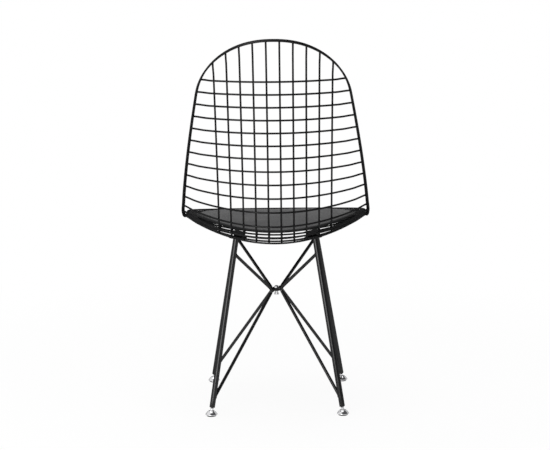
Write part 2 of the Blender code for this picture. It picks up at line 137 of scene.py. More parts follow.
def profilePoints(station):
    # middle and side line, each at the same share of its own stretch
    index = np.clip(np.searchsorted(stretchStarts, station, side="right") - 1, 0, len(stretchStarts) - 2)
    share = (station - stretchStarts[index]) / centreChain["length"][index]
    return [arcPoint(chain["start"][index], chain["heading"][index], chain["length"][index],
                     chain["turn"][index], share) for chain in (centreChain, sideChain)]


def sideHalf(station):
    # even along the seat, then narrower by a power of the way up the back
    share = np.maximum(0.0, (station - cornerStation) / (shellLength - cornerStation))
    return shell["seatHalf"] + (shell["topHalf"] - shell["seatHalf"]) * share ** shell["sidePower"]


def rimHalf(station):
    # the sides, times a superellipse arch at the top and the root of an exponential rounding at the front
    fall = np.clip((shellLength - station) / shell["archLength"], 0.0, 1.0)
    arch = (1 - (1 - fall) ** shell["archPower"]) ** (1 / shell["archPower"])
    front = np.sqrt(1 - np.exp(-np.maximum(0.0, station) / shell["frontRound"]))
    return sideHalf(station) * arch * front


def shellPoint(across, station):
    # S(u, s) = centre(s) + (side(s) - centre(s)) * (u / half width)^2
    across, station = np.broadcast_arrays(np.asarray(across, float), np.asarray(station, float))
    centre, side = profilePoints(station)
    share = (across / sideHalf(station)) ** 2
    return np.concatenate([across[..., None], centre + (side - centre) * share[..., None]], -1)


def shellFrame(across, station, step=1e-5):
    # point, sideways, rearward and inward normal, from central differences
    sideways = shellPoint(across + step, station) - shellPoint(across - step, station)
    along = shellPoint(across, station + step) - shellPoint(across, station - step)
    normal = unit(np.cross(sideways, along))
    sideways = unit(sideways)
    return shellPoint(across, station), sideways, np.cross(normal, sideways), normal


def lifted(across, station, lift):
    # shell point + lift * inward normal
    point, _, _, normal = shellFrame(across, station)
    return point + normal * np.asarray(lift)[..., None], normal


def rimStation(across, low, high, halvings=50):
    # halving search for the station where the outline has this half width
    widening = rimHalf(high) > rimHalf(low)
    for _ in range(halvings):
        middle = (low + high) / 2
        if (rimHalf(middle) < across) == widening:
            low = middle
        else:
            high = middle
    return (low + high) / 2


columns = shell["longPitch"] * (np.arange(shell["longCount"]) - (shell["longCount"] - 1) / 2)
rowPitch = (shellLength - shell["frontRow"] - shell["topRow"]) / (shell["crossCount"] - 1)
rows = shell["frontRow"] + rowPitch * np.arange(shell["crossCount"])


# Meshes from grids of points

def around(angle, first, second):
    # cos a * first + sin a * second
    return np.cos(angle) * first + np.sin(angle) * second


def gridFaces(count, sides, wrap, start):
    # quads over count rings of sides points, and a cap at each open end
    ring = np.arange(count if wrap else count - 1)[:, None]
    spot = np.arange(sides)[None, :]
    after = (spot + 1) % sides
    upper = (ring + 1) % count
    corners = [ring * sides + spot, ring * sides + after, upper * sides + after, upper * sides + spot]
    faces = (np.stack(corners, -1).reshape(-1, 4) + start).tolist()
    if not wrap:
        faces.append((np.arange(sides)[::-1] + start).tolist())
        faces.append((np.arange(sides) + start + (count - 1) * sides).tolist())
    return faces


def closedMesh(name, points, faces):
    # faces turned outwards, smooth apart from edges that bend more than 40 degrees
    mesh = bpy.data.meshes.new(name)
    mesh.from_pydata(points.tolist(), [], faces)
    work = bmesh.new()
    work.from_mesh(mesh)
    bmesh.ops.recalc_face_normals(work, faces=work.faces)
    work.to_mesh(mesh)
    work.free()
    mesh.shade_smooth()
    mesh.set_sharp_from_angle(angle=radians(40))
    return mesh


def makeMesh(name, grids):
    # a grid is (points, wrap): points are rings of points, or several such sets
    points, faces, start = [], [], 0
    for grid, wrap in grids:
        count, sides = grid.shape[-3:-1]
        for rings in grid.reshape(-1, count, sides, 3):
            faces += gridFaces(count, sides, wrap, start)
            points.append(rings.reshape(-1, 3))
            start += count * sides
    return closedMesh(name, np.concatenate(points), faces)


def addObject(name, data):
    # a new object at the origin, in the scene
    thing = bpy.data.objects.new(name, data)
    scene.collection.objects.link(thing)
    return thing


def addPiece(name, grids, finish, *nodes, body="frame", slot="black_paint"):
    # an object with its finish, the solids it stands for and its body; slot is not used
    piece = addObject(name, makeMesh(name, grids))
    piece.data.materials.append(finish)
    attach(piece, body)
    if nodes:
        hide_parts(*nodes)
    return piece


def tube(path, normals, radius, sides, closed=False):
    # ring = path + radius * (cos a * normal + sin a * binormal)
    if closed:
        tangent = np.roll(path, -1, axis=0) - np.roll(path, 1, axis=0)
    else:
        tangent = np.gradient(path, axis=0)
    tangent = unit(tangent)
    binormal = unit(np.cross(tangent, normals))
    normal = np.cross(binormal, tangent)
    angle = turnAngles(sides)[None, :, None]
    ring = around(angle, normal[:, None], binormal[:, None])
    return path[:, None] + np.broadcast_to(radius, len(path))[:, None, None] * ring


def domedRadius(distance, radius, depth, flat=0.02):
    # quarter ellipse at a rod's end, down to a small flat
    share = np.clip(distance / depth, flat, 1.0)
    return radius * np.sqrt(1 - (1 - share) ** 2)


offAxis = np.array([0.31, 0.95, 0.02])  # no rod runs this way


def axisFrame(axis):
    # two directions square to an axis, by cross products
    first = unit(np.cross(axis, offAxis))
    return first, np.cross(axis, first)


def lathe(profile, origin, axis, sides):
    # (radius, height) pairs turned about the axis
    profile = np.asarray(profile)
    first, second = axisFrame(axis)
    angle = turnAngles(sides)[:, None]
    ring = around(angle, first, second)
    return origin + profile[:, :1, None] * ring + profile[:, 1:, None] * axis


def filleted(corners, steps=6):
    # (radius, height, rounding) corners: each rounded one becomes a circular arc
    spots = np.array([corner[:2] for corner in corners])
    line = [spots[:1]]
    for before, here, after, corner in zip(spots[:-2], spots[1:-1], spots[2:], corners[1:-1]):
        if corner[2] == 0:
            line.append(here[None])
            continue
        back, on = unit(before - here), unit(after - here)
        inward, sideways = unit(back + on), unit(back - on)
        half = np.arccos(np.clip(back @ on, -1, 1)) / 2
        middle = here + inward * corner[2] / sin(half)
        sweep = np.linspace(half - pi / 2, pi / 2 - half, steps)[:, None]
        line.append(middle - corner[2] * around(sweep, inward, sideways))
    line.append(spots[-1:])
    return np.concatenate(line)


def beads(centres, frames, radii, rings=6, sides=10, pole=1.35):
    # ellipsoids: centre + sum of frame axes times radii times a unit sphere, with flat poles
    tilt = np.linspace(-pole, pole, rings)[:, None]
    angle = turnAngles(sides)[None, :]
    ball = np.stack([np.cos(tilt) * np.cos(angle), np.cos(tilt) * np.sin(angle),
                     np.sin(tilt) + 0 * angle], -1) * np.asarray(radii)
    return centres[:, None, None] + np.einsum("rsk,nkx->nrsx", ball, frames)


def weldRing(path, first, second, radius, ripples, sides=8, swing=0.12):
    # bead round a joint, of thickness radius * (1 + swing * cos(ripples * a)) along the way
    angle = turnAngles(sides)[None, :, None]
    thick = radius * (1 + swing * np.cos(ripples * turnAngles(len(path))))
    ring = around(angle, first[:, None], second[:, None])
    return path[:, None] + thick[:, None, None] * ring


# Finishes

class Socket:
    def __init__(self, finish, socket):
        self.finish = finish
        self.socket = socket

    def math(self, operation, first, second):
        return self.finish.node("ShaderNodeMath", {"operation": operation}, {0: first, 1: second})

    def __add__(self, other):
        return self.math("ADD", self, other)

    def __mul__(self, other):
        return self.math("MULTIPLY", self, other)

    def __sub__(self, other):
        return self.math("SUBTRACT", self, other)

    def __rsub__(self, other):
        return self.math("SUBTRACT", other, self)

    __radd__ = __add__
    __rmul__ = __mul__


class Nodes:
    def __init__(self, owner):
        owner.use_nodes = True
        self.owner = owner
        self.tree = owner.node_tree

    def node(self, kind, settings, sockets, output=0):
        made = self.tree.nodes.new(kind)
        for key, value in settings.items():
            setattr(made, key, value)
        for key, value in sockets.items():
            if isinstance(value, Socket):
                self.tree.links.new(value.socket, made.inputs[key])
            else:
                made.inputs[key].default_value = value
        return Socket(self, made.outputs[output])

    def band(self, value, low, high):
        return self.node("ShaderNodeMapRange", {"interpolation_type": "SMOOTHSTEP"}, {
            "Value": value, "From Min": low, "From Max": high})

    def blend(self, share, first, second):
        # sockets 6 and 7 take the colours, output 2 gives the mixed one
        return self.node("ShaderNodeMix", {"data_type": "RGBA"}, {
            "Factor": share, 6: first, 7: second}, 2)

    def ray(self, kind):
        return self.node("ShaderNodeLightPath", {}, {}, kind)

    def surface(self, output, shader):
        self.tree.links.new(shader.socket, self.tree.nodes[output].inputs["Surface"])


class Finish(Nodes):
    def __init__(self, name):
        super().__init__(bpy.data.materials.new(name))
        self.shader = self.tree.nodes["Principled BSDF"]
        self.place = self.node("ShaderNodeTexCoord", {}, {}, "Object")

    def noise(self, scale, detail=3.0, rough=0.55):
        return self.node("ShaderNodeTexNoise", {}, {
            "Vector": self.place, "Scale": scale, "Detail": detail, "Roughness": rough})

    def patches(self, scale, low, high, detail=3.0):
        return self.band(self.noise(scale, detail), low, high)

    def cells(self, scale):
        return self.node("ShaderNodeTexVoronoi", {}, {"Vector": self.place, "Scale": scale})

    def bump(self, height, strength, distance):
        return self.node("ShaderNodeBump", {}, {
            "Height": height, "Strength": strength, "Distance": distance}, "Normal")

    def set(self, **values):
        for key, value in values.items():
            target = self.shader.inputs[key.replace("_", " ")]
            if isinstance(value, Socket):
                self.tree.links.new(value.socket, target)
            else:
                target.default_value = value
        return self.owner


# A patch is noise per metre, the band of it that shows and its detail; a bump is strength and depth
blackPaint = {
    "deep": (0.0026, 0.0026, 0.0029, 1.0),
    "worn": (0.005, 0.005, 0.0054, 1.0),
    "dust": (0.03, 0.0295, 0.028, 1.0),
    "rough": 0.8,
    "base": 0.03,  # reflection of the paint under its gloss
    "rodGloss": 0.66,
    "wireGloss": 0.3,  # the thin wires look duller than the rods
    "glossRough": 0.17,
    "glossFade": (0.68, 0.3),  # powder coat loses its gloss at a flat angle
    "cloud": (38.0, 0.35, 0.7),
    "speckCells": 420.0,
    "speckSize": (0.16, 0.06),
    "speckPatch": (24.0, 0.52, 0.66),
    "scuff": (210.0, 0.5, 0.72, 5.0),
    "scuffHeight": 0.11,  # shoes and mops reach this far up the legs
    "peel": 1100.0,  # orange peel of the powder coat, waves per metre
    "peelBump": (0.08, 0.0001),
}


def paintFinish(name, gloss):
    # dark paint with paler clouds, dusty specks and scuffs near the floor, under a gloss coat
    look = blackPaint
    finish = Finish(name)
    cloud = finish.patches(*look["cloud"])
    specks = finish.band(finish.cells(look["speckCells"]), *look["speckSize"])
    specks = specks * finish.patches(*look["speckPatch"])
    height = finish.node("ShaderNodeSeparateXYZ", {}, {0: finish.place}, "Z")
    scuff = finish.band(height, look["scuffHeight"], 0.0) * finish.patches(*look["scuff"])
    colour = finish.blend(cloud, look["deep"], look["worn"])
    colour = finish.blend(specks * 0.25 + scuff * 0.25, colour, look["dust"])
    finer = finish.noise(look["peel"] * 3, detail=1.0)
    peel = finish.noise(look["peel"], detail=2.0) + 0.35 * finer
    flat = finish.node("ShaderNodeLayerWeight", {}, {"Blend": 0.5}, "Facing")
    rough = look["rough"] + 0.08 * cloud + 0.1 * specks + 0.1 * scuff
    shine = finish.band(flat, *look["glossFade"]) * (1 - 0.2 * cloud) * (1 - 0.6 * scuff)
    return finish.set(
        Base_Color=colour, Roughness=rough, Normal=finish.bump(peel, *look["peelBump"]),
        Specular_IOR_Level=look["base"], Coat_Weight=gloss * shine,
        Coat_Roughness=look["glossRough"])


chromePlate = {
    "bright": (0.74, 0.74, 0.75, 1.0),
    "smudge": (0.60, 0.60, 0.615, 1.0),
    "smudges": (160.0, 0.42, 0.72, 4.0),
    "rough": 0.07,
    "edge": (0.2, 0.2, 0.21, 1.0),  # tint of the mirror at a flat angle
    "scratch": {"Scale": 900.0, "Distortion": 14.0, "Detail": 3.0},
    "scratchBump": (0.03, 0.00005),
}


def chromeFinish():
    # bright plate with duller smudges and faint slanting scratches
    look = chromePlate
    finish = Finish("chromePlate")
    smudge = finish.patches(*look["smudges"])
    scratch = finish.node("ShaderNodeTexWave", {"bands_direction": "DIAGONAL"}, {
        "Vector": finish.place, **look["scratch"]}, "Fac")
    colour = finish.blend(smudge, look["bright"], look["smudge"])
    return finish.set(
        Base_Color=colour, Metallic=1.0, Roughness=look["rough"] + 0.12 * smudge,
        Specular_Tint=look["edge"], Normal=finish.bump(scratch, *look["scratchBump"]))


treadNylon = {
    "deep": (0.010, 0.010, 0.0105, 1.0),
    "scuffed": (0.03, 0.0295, 0.0285, 1.0),
    "scuff": (420.0, 0.45, 0.75, 4.0),
    "rough": 0.55,
    "grain": 1500.0,
    "grainBump": (0.3, 0.0002),
}


def treadFinish():
    # black nylon, paler and rougher where it is scuffed
    look = treadNylon
    finish = Finish("treadNylon")
    scuff = finish.patches(*look["scuff"])
    colour = finish.blend(scuff, look["deep"], look["scuffed"])
    grain = finish.noise(look["grain"], detail=2.0)
    return finish.set(
        Base_Color=colour, Roughness=look["rough"] + 0.25 * scuff,
        Normal=finish.bump(grain, *look["grainBump"]))


greyLeather = {
    "face": (0.083, 0.083, 0.0845, 1.0),
    "faded": (0.119, 0.1185, 0.119, 1.0),
    "crease": (0.034, 0.034, 0.035, 1.0),
    # painted shade: near-black for the pad's edge band, underside and piping, standing for the shade on
    # the rounded edge
    "paintedEdgeShade": (0.011, 0.011, 0.0115, 1.0),
    "grain": 620.0,  # pebbles per metre
    "warp": 240.0,  # waves per metre that bend the pebbles' edges
    "warpReach": (0.0012, 0.0012, 0.0012),
    "creaseWide": 0.32,
    "pores": 2600.0,
    "cloud": (17.0, 0.3, 0.75, 4.0),
    "streak": (6.0, 95.0, 95.0),  # faint rolls that run across the seat
    "streakBand": (0.35, 0.65),
    "rough": 0.7,
    "shine": 0.22,
    "bump": (0.35, 0.00035),
}


def leatherFinish():
    # pebbles with dark creases, faded in clouds and streaks, and painted shade: near-black on the pad's
    # edge band, underside and piping
    look = greyLeather
    finish = Finish("greyLeather")
    wander = finish.node("ShaderNodeTexNoise", {}, {
        "Vector": finish.place, "Scale": look["warp"]}, "Color")
    warped = finish.node("ShaderNodeVectorMath", {"operation": "MULTIPLY_ADD"}, {
        0: wander, 1: look["warpReach"], 2: finish.place})
    pebble = finish.node("ShaderNodeTexVoronoi", {"feature": "DISTANCE_TO_EDGE"}, {
        "Vector": warped, "Scale": look["grain"]})
    pebble = finish.band(pebble, 0.0, look["creaseWide"])
    pore = finish.noise(look["pores"], detail=2.0)
    cloud = finish.patches(*look["cloud"])
    stretched = finish.node("ShaderNodeVectorMath", {"operation": "MULTIPLY"}, {
        0: finish.place, 1: look["streak"]})
    streak = finish.node("ShaderNodeTexNoise", {}, {"Vector": stretched, "Scale": 1.0})
    streak = finish.band(streak, *look["streakBand"])
    # painted shade: 1 on the edge band, underside and piping, which turns them near-black
    paintedEdgeShade = finish.node("ShaderNodeAttribute", {"attribute_name": "paintedEdgeShade"}, {}, "Fac")
    colour = finish.blend(cloud * 0.35 + streak * 0.5, look["face"], look["faded"])
    colour = finish.blend((1 - pebble) * 0.5, colour, look["crease"])
    colour = finish.blend(paintedEdgeShade, colour, look["paintedEdgeShade"])
    rough = look["rough"] + 0.12 * (1 - pebble) - 0.08 * cloud + 0.15 * paintedEdgeShade
    relief = pebble + 0.25 * pore + 0.6 * streak
    return finish.set(
        Base_Color=colour, Roughness=rough, Specular_IOR_Level=look["shine"],
        Normal=finish.bump(relief, *look["bump"]))


paint = paintFinish("rodPaint", blackPaint["rodGloss"])
wirePaint = paintFinish("wirePaint", blackPaint["wireGloss"])
chrome = chromeFinish()
nylon = treadFinish()
leather = leatherFinish()
print("finishes made")


# Wire shell

wireLook = {
    "sides": 14,
    "crossRings": 161,
    "longRings": 321,
    "rimRings": 620, "rimSides": 16,
    "cut": 0.0008,  # rounding of a wire's end
    "coat": 0.0001,
    "weldWide": 0.0021, "weldHigh": 0.0013,
    "butt": 0.0023,  # nugget at a wire's end
    "buttInset": 0.8,  # its place inside the rim line, in rim radii
}


def rampShare(distance, ramp):
    # 0 along the flat end, then smoothly up to 1 at the ramp's end
    return smoothStep((distance - shell["endFlat"]) / (ramp - shell["endFlat"]))


def spread(low, high, count):
    # closer together at both ends: middle + half * sin
    turn = np.linspace(-pi / 2, pi / 2, count)
    return (low + high) / 2 + (high - low) / 2 * np.sin(turn)


def weldFrames(across, station):
    # shell points, with their three directions as rows
    point, *directions = shellFrame(across, station)
    return point, np.stack(directions, -2)


def endWelds(across, station):
    # a nugget round each wire's end, where it butts against the two rim wires
    return beads(*weldFrames(across, station), [wireLook["butt"]] * 3)


def wireTube(path, normal, distance):
    # tube with rounded ends, by the distance from the nearer one
    radius = domedRadius(distance, shell["wire"] + wireLook["coat"], wireLook["cut"])
    return tube(path, normal, radius, wireLook["sides"])


def crossWire(number, station):
    # from rim to rim at one station, a layer outside the shell except at its ends
    end = rimHalf(station)
    across = spread(-end, end, wireLook["crossRings"])
    distance = end - np.abs(across)
    ramp = min(shell["endRamp"], end - columns[-1] - 2 * shell["wire"])
    path, normal = lifted(across, station, -layer * rampShare(distance, ramp))
    body = wireTube(path, normal, distance)
    spots = weldFrames(columns, np.full(len(columns), station))
    welds = beads(*spots, [wireLook["weldWide"]] * 2 + [wireLook["weldHigh"]])
    inset = np.array([-1.0, 1.0]) * (end - wireLook["buttInset"] * shell["rim"])
    grids = [(body, False), (welds, False), (endWelds(inset, np.full(2, station)), False)]
    addPiece(f"crossWire{number:02d}", grids, wirePaint, f"cross_wire_{number:02d}")


def longWire(number, across):
    # from the front rim to the arch in one column, a layer inside the shell except at its ends
    start = rimStation(abs(across), 0.0, cornerStation)
    end = rimStation(abs(across), cornerStation, shellLength)
    station = spread(start, end, wireLook["longRings"])
    first = min(shell["endRamp"], rows[0] - start - 2 * shell["wire"])
    last = min(shell["endRamp"], end - rows[-1] - 2 * shell["wire"])
    share = rampShare(station - start, first) * rampShare(end - station, last)
    path, normal = lifted(np.full(len(station), across), station, layer * share)
    body = wireTube(path, normal, np.minimum(station - start, end - station))
    inset = wireLook["buttInset"] * shell["rim"]
    ends = np.array([start + inset, end - inset])
    grids = [(body, False), (endWelds(np.full(2, across), ends), False)]
    addPiece(f"longWire{number:02d}", grids, wirePaint, f"long_wire_{number:02d}")


def rimWire(name, lift, node):
    # station = length * (1 - cos a) / 2 for a from 0 to a full turn, spaced evenly along the wire
    turn = np.linspace(0.0, 2 * pi, num=6001)
    station = shellLength * (1 - np.cos(turn)) / 2
    across = rimHalf(station) * np.sign(np.sin(turn))
    step = np.linalg.norm(np.diff(shellPoint(across, station), axis=0), axis=1)
    travel = np.concatenate([[0.0], np.cumsum(step)])
    even = np.interp(np.linspace(0.0, travel[-1], wireLook["rimRings"] + 1)[:-1], travel, turn)
    station = shellLength * (1 - np.cos(even)) / 2
    path, normal = lifted(rimHalf(station) * np.sign(np.sin(even)), station, np.full(len(even), lift))
    body = tube(path, normal, shell["rim"] + wireLook["coat"], wireLook["rimSides"], closed=True)
    addPiece(name, [(body, True)], wirePaint, node)


for number, station in enumerate(rows, 1):
    crossWire(number, station)
for number, across in enumerate(columns, 1):
    longWire(number, across)
rimWire("rimInner", rimLift, "rim_inner")
rimWire("rimOuter", -rimLift, "rim_outer")
print("wire shell made:", len(rows), "cross wires,", len(columns), "long wires")


# Base: clamps, legs, struts and hub

base = {
    "clampHalf": (0.01525, 0.017),
    "clampThick": 0.0022, "clampGap": 0.0006, "clampSquare": 7.0,
    "clampEdge": 0.0007,  # rounding of a plate's edges
    "clampFlat": 0.008,  # inset of the ring that closes a plate's face
    "clampColumn": 3,
    "clampRow": {"front": 3, "rear": 9},
    "bossRadius": 0.0035, "bossRound": 0.0005,
    "bossSunk": 0.0004,  # the boss reaches this far into its plate
    "bossFlat": 0.0004,  # radius at which its ends close
    "legRadius": 0.00595, "legOutset": 0.004, "legEnd": 0.0105,
    "legMouth": 0.02,  # turned stretch above the leg's end
    "mouthRound": 0.0004,
    "ballHeight": 0.0082,
    "boreRadius": 0.0039, "boreDepth": 0.027,
    "strutRadius": 0.0035, "strutBend": 0.009, "strutTop": 0.0345, "strutFoot": 0.0165,
    "strutCope": 0.017,  # full section from here on, past the cut that fits the leg
    "copeSunk": 0.0005,  # the coped ends reach this far under the weld
    "hubHeight": 0.2505, "hubReach": 0.0088, "hubSpread": 0.0052,
    "weld": 0.0013,
    "strutRipples": 14,
    "legWeld": 1.15,  # the bead under a plate is this much thicker
    "legRipples": 18,
    "legSeam": 0.0004,  # its middle lies this far below the plate
}
sideSigns = {"left": 1.0, "right": -1.0}
endSigns = {"front": -1.0, "rear": 1.0}
plateReach = meshTop + base["clampGap"] + base["clampThick"]  # farther face of a plate from the shell


def clampFrame(end, side):
    # shell point and directions in the middle of the opening that takes the boss
    across = base["clampColumn"] * shell["longPitch"] * sideSigns[side]
    row = base["clampRow"][end]
    return shellFrame(across, (rows[row - 1] + rows[row]) / 2)


def plateOutline(shrink, sides=64):
    # superellipse: half size * sign(cos) * |cos|^(2 / squareness)
    angle = turnAngles(sides)
    power = 2 / base["clampSquare"]
    wave = np.stack([np.cos(angle), np.sin(angle)], -1)
    return (np.array(base["clampHalf"]) - shrink) * np.sign(wave) * np.abs(wave) ** power


def roundedEdge(low, high, edge, rings=4):
    # quarter circle at both faces: insets edge * (1 - sin a), rises edge * (1 - cos a)
    bend = np.linspace(0.0, pi / 2, rings)
    draw, rise = edge * (1 - np.sin(bend)), edge * (1 - np.cos(bend))
    return np.concatenate([draw, rise]), np.concatenate([low + rise, high - draw])


def plateGrid(spot, low, high):
    # superellipse outlines, inset and raised round the edges
    point, sideways, along, normal = spot
    inset, height = roundedEdge(low, high, base["clampEdge"])
    inset = np.pad(inset, 1, constant_values=base["clampFlat"])
    height = np.concatenate([[low], height, [high]])
    flat = np.stack([plateOutline(shrink) for shrink in inset])
    return point + flat[..., :1] * sideways + flat[..., 1:] * along + height[:, None, None] * normal


def legLine(end, side):
    # from the middle of the glide's ball to the underside of the clamp's lower plate
    point, sideways, _, normal = clampFrame(end, side)
    top = point + sideways * base["legOutset"] * sideSigns[side] - normal * plateReach
    ball = boxMiddle(f"glide_foot_{end}_{side}")
    ball[2] = base["ballHeight"]
    return top, ball, unit(top - ball), normal


def cornerPiece(kind, node, end, side, grids, finish=paint, **place):
    # a piece that each of the four corners has, named for its corner
    addPiece(kind + end.title() + side.title(), grids, finish, f"{node}_{end}_{side}", **place)


def addClamp(end, side):
    # plate over the mesh, with a turned boss down through the opening
    spot = clampFrame(end, side)
    low = meshTop + base["clampGap"]
    plate = plateGrid(spot, low, low + base["clampThick"])
    bottom, top = -low + gap, low + base["bossSunk"]
    line = filleted([
        (base["bossFlat"], bottom, 0), (base["bossRadius"], bottom, base["bossRound"]),
        (base["bossRadius"], top, 0), (base["bossFlat"], top, 0)])
    boss = lathe(line, spot[0], spot[3], sides=32)
    cornerPiece("clamp", "clamp", end, side, [(plate, False), (boss, False)])


def legRod(top, ball, up, normal):
    # bore, rounded mouth and outer wall; the last ring is cut by the plate's plane
    end = base["legEnd"]
    line = filleted([
        (base["boreRadius"], end + base["boreDepth"], 0), (base["boreRadius"], end, base["mouthRound"]),
        (base["legRadius"], end, base["mouthRound"]), (base["legRadius"], end + base["legMouth"], 0)])
    rod = lathe(line, ball, up, sides=36)
    reach = ((top - rod[-1]) @ normal) / (up @ normal)
    share = np.linspace(0.0, 1.0, num=40)[1:, None, None]
    return np.concatenate([rod, rod[-1] + share * reach[:, None] * up])


def addLeg(end, side):
    # rod, its clamp plate and the weld between them
    top, ball, up, normal = legLine(end, side)
    rod = legRod(top, ball, up, normal)
    plate = plateGrid(clampFrame(end, side), -plateReach, -plateReach + base["clampThick"])
    seam = rod[-1] - normal * base["legSeam"]
    outward = unit(seam - seam.mean(0))
    thick = base["weld"] * base["legWeld"]
    bead = weldRing(seam, outward, np.broadcast_to(normal, seam.shape), thick, base["legRipples"])
    cornerPiece("leg", "leg", end, side, [(rod, False), (plate, False), (bead, True)])


def saddle(joint, away, up, skin, radius):
    # where the strut's skin meets a leg of this radius:
    # the farther root t of |p + t d| = radius, with p and d taken square to the leg
    def square(vectors):
        return vectors - (vectors @ up)[..., None] * up

    p, d = square(skin), square(away[None])[0]
    half = p @ d
    root = (-half + np.sqrt(half ** 2 - d @ d * ((p ** 2).sum(-1) - radius ** 2))) / (d @ d)
    return joint + skin + root[:, None] * away


def strutBead(joint, away, up):
    # weld along the saddle where a strut meets its leg
    first, second = axisFrame(away)
    angle = turnAngles(sides=40)[:, None]
    radial = around(angle, first, second)
    path = saddle(joint, away, up, base["strutRadius"] * radial, base["legRadius"])
    return weldRing(path, radial, np.broadcast_to(away, path.shape), base["weld"], base["strutRipples"])


hub = {
    "tabRadius": 0.0084, "tabThick": 0.0034, "tabEdge": 0.0006,
    "weld": (0.0034, 0.0046, 0.0046),
    "hole": 0.0033,
    "pin": 0.003,
    "headRadius": 0.0056, "headHigh": 0.0046,
    "headRim": 0.0006,  # upright part below the dome
    "headRound": 0.0003,
    "domeTurn": 1.5,  # radians up the dome, short of its pole
    "collarRadius": 0.0037, "collarHigh": 0.0052, "collarRound": 0.0003,
    "tailRadius": 0.0054, "tailHigh": 0.0038,
    "tailRound": (0.0013, 0.0005),
    "tailFlat": 0.0006,  # radius at which the end closes
}
hubPoint = np.array([0.0, chairShift, base["hubHeight"]])
tabLow = {"left": -gap / 2 - hub["tabThick"], "right": gap / 2}  # the right tab lies on the left one


def addStrut(end, side):
    # straight arms from high and low on the leg, joined by a circular bend at the hub
    sign = sideSigns[side]
    top, ball, up, _ = legLine(end, side)
    high = top - up * base["strutTop"]
    low = ball + up * (base["legEnd"] + base["strutFoot"])
    spreadY = base["hubSpread"] * endSigns[end]
    apex = hubPoint + np.array([base["hubReach"] * sign, spreadY, tabLow[side] + hub["tabThick"] / 2])
    rise, fall = unit(high - apex), unit(low - apex)
    half = np.arccos(rise @ fall) / 2
    middle = apex + unit(rise + fall) * base["strutBend"] / sin(half)
    inward, upward = unit(apex - middle), unit(rise - fall)
    sweep = np.linspace(pi / 2 - half, half - pi / 2, num=25)[:, None]
    bend = middle + base["strutBend"] * around(sweep, inward, upward)
    share = np.linspace(0.0, 1.0, num=24)[:-1, None]
    upper = (high - rise * base["strutCope"]) * (1 - share) + bend[0] * share
    lower = bend[-1] * share[::-1] + (low - fall * base["strutCope"]) * (1 - share[::-1])
    path = np.concatenate([upper, bend, lower])
    plane = np.broadcast_to(unit(np.cross(rise, fall)), path.shape)
    rod = tube(path, plane, base["strutRadius"], sides=20)
    under = base["legRadius"] - base["copeSunk"]
    first = saddle(high, -rise, up, rod[0] - path[0], under)
    last = saddle(low, -fall, up, rod[-1] - path[-1], under)
    rod = np.concatenate([first[None], rod, last[None]])
    welds = [(strutBead(high, -rise, -up), True), (strutBead(low, -fall, up), True)]
    cornerPiece("strut", "strut", end, side, [(rod, False), *welds])


def addTab(side):
    # round plate with a hole; towards the struts it is square: min(reach / cos a, radius / sin a)
    sign = sideSigns[side]
    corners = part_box(f"hub_tab_{side}")
    reach = corners[1][0] if sign > 0 else -corners[0][0]
    low = tabLow[side]
    high = low + hub["tabThick"]
    angle = turnAngles(sides=72)
    toward = np.maximum(np.cos(angle) * sign, tiny)
    off = np.maximum(np.abs(np.sin(angle)), tiny)
    straight = np.minimum(reach / toward, hub["tabRadius"] / off)
    outline = np.where(np.cos(angle) * sign > 0, straight, hub["tabRadius"])
    inset, height = roundedEdge(low, high, hub["tabEdge"])
    outer = np.concatenate([outline - inset[:, None], np.full((2, len(angle)), hub["hole"])])
    height = np.concatenate([height, [high, low]])[:, None]
    plate = np.stack([outer * np.cos(angle), outer * np.sin(angle), height + 0 * outer], -1) + hubPoint
    seams = hubPoint + np.array([[reach * sign, base["hubSpread"] * s, (low + high) / 2] for s in (-1, 1)])
    welds = beads(seams, np.broadcast_to(np.eye(3), (2, 3, 3)), hub["weld"])
    addPiece(f"hubTab{side.title()}", [(plate, True), (welds, False)], paint, f"hub_tab_{side}")


def addRivet():
    # tail, spacer, pin and head turned about the hub's axis; the head's dome is a quarter ellipse
    top = hub["tabThick"] + 1.5 * gap  # half the gap between the tabs, and one above them
    collar = -top - hub["collarHigh"]
    tail = collar - hub["tailHigh"]
    brim = top + hub["headRim"]
    sweep = np.linspace(0.0, hub["domeTurn"], num=14)
    high = brim + (hub["headHigh"] - hub["headRim"]) * np.sin(sweep)
    dome = np.stack([hub["headRadius"] * np.cos(sweep), high], -1)
    lower = filleted([
        (hub["tailFlat"], tail, 0), (hub["tailRadius"], tail, hub["tailRound"][0]),
        (hub["tailRadius"], collar, hub["tailRound"][1]), (hub["collarRadius"], collar, 0),
        (hub["collarRadius"], -top, hub["collarRound"]), (hub["pin"], -top, 0), (hub["pin"], top, 0),
        (hub["headRadius"], top, hub["headRound"]), (hub["headRadius"], brim, 0)])
    rivet = lathe(np.concatenate([lower, dome[1:]]), hubPoint, skyward, sides=48)
    addPiece("hubRivet", [(rivet, False)], chrome, "hub_rivet", slot="chrome")


# Levelling glides

stud = {
    "ball": 0.0052,
    "pole": 1.45,  # radians along the ball and its socket, short of the pole
    "neck": 0.0028,
    "neckLift": 0.0002,  # the neck starts this far off the ball
    "neckRound": 0.0006,
    "shoulder": 0.0078, "shoulderRound": 0.0003,
    "plainEnd": 0.0005,  # heights above the shoulder
    "threadStart": 0.0006,
    "radius": 0.0036,
    "top": 0.030,
    "pitch": 0.00125,
    "threadDeep": 0.00045,
    "sides": 32,
}


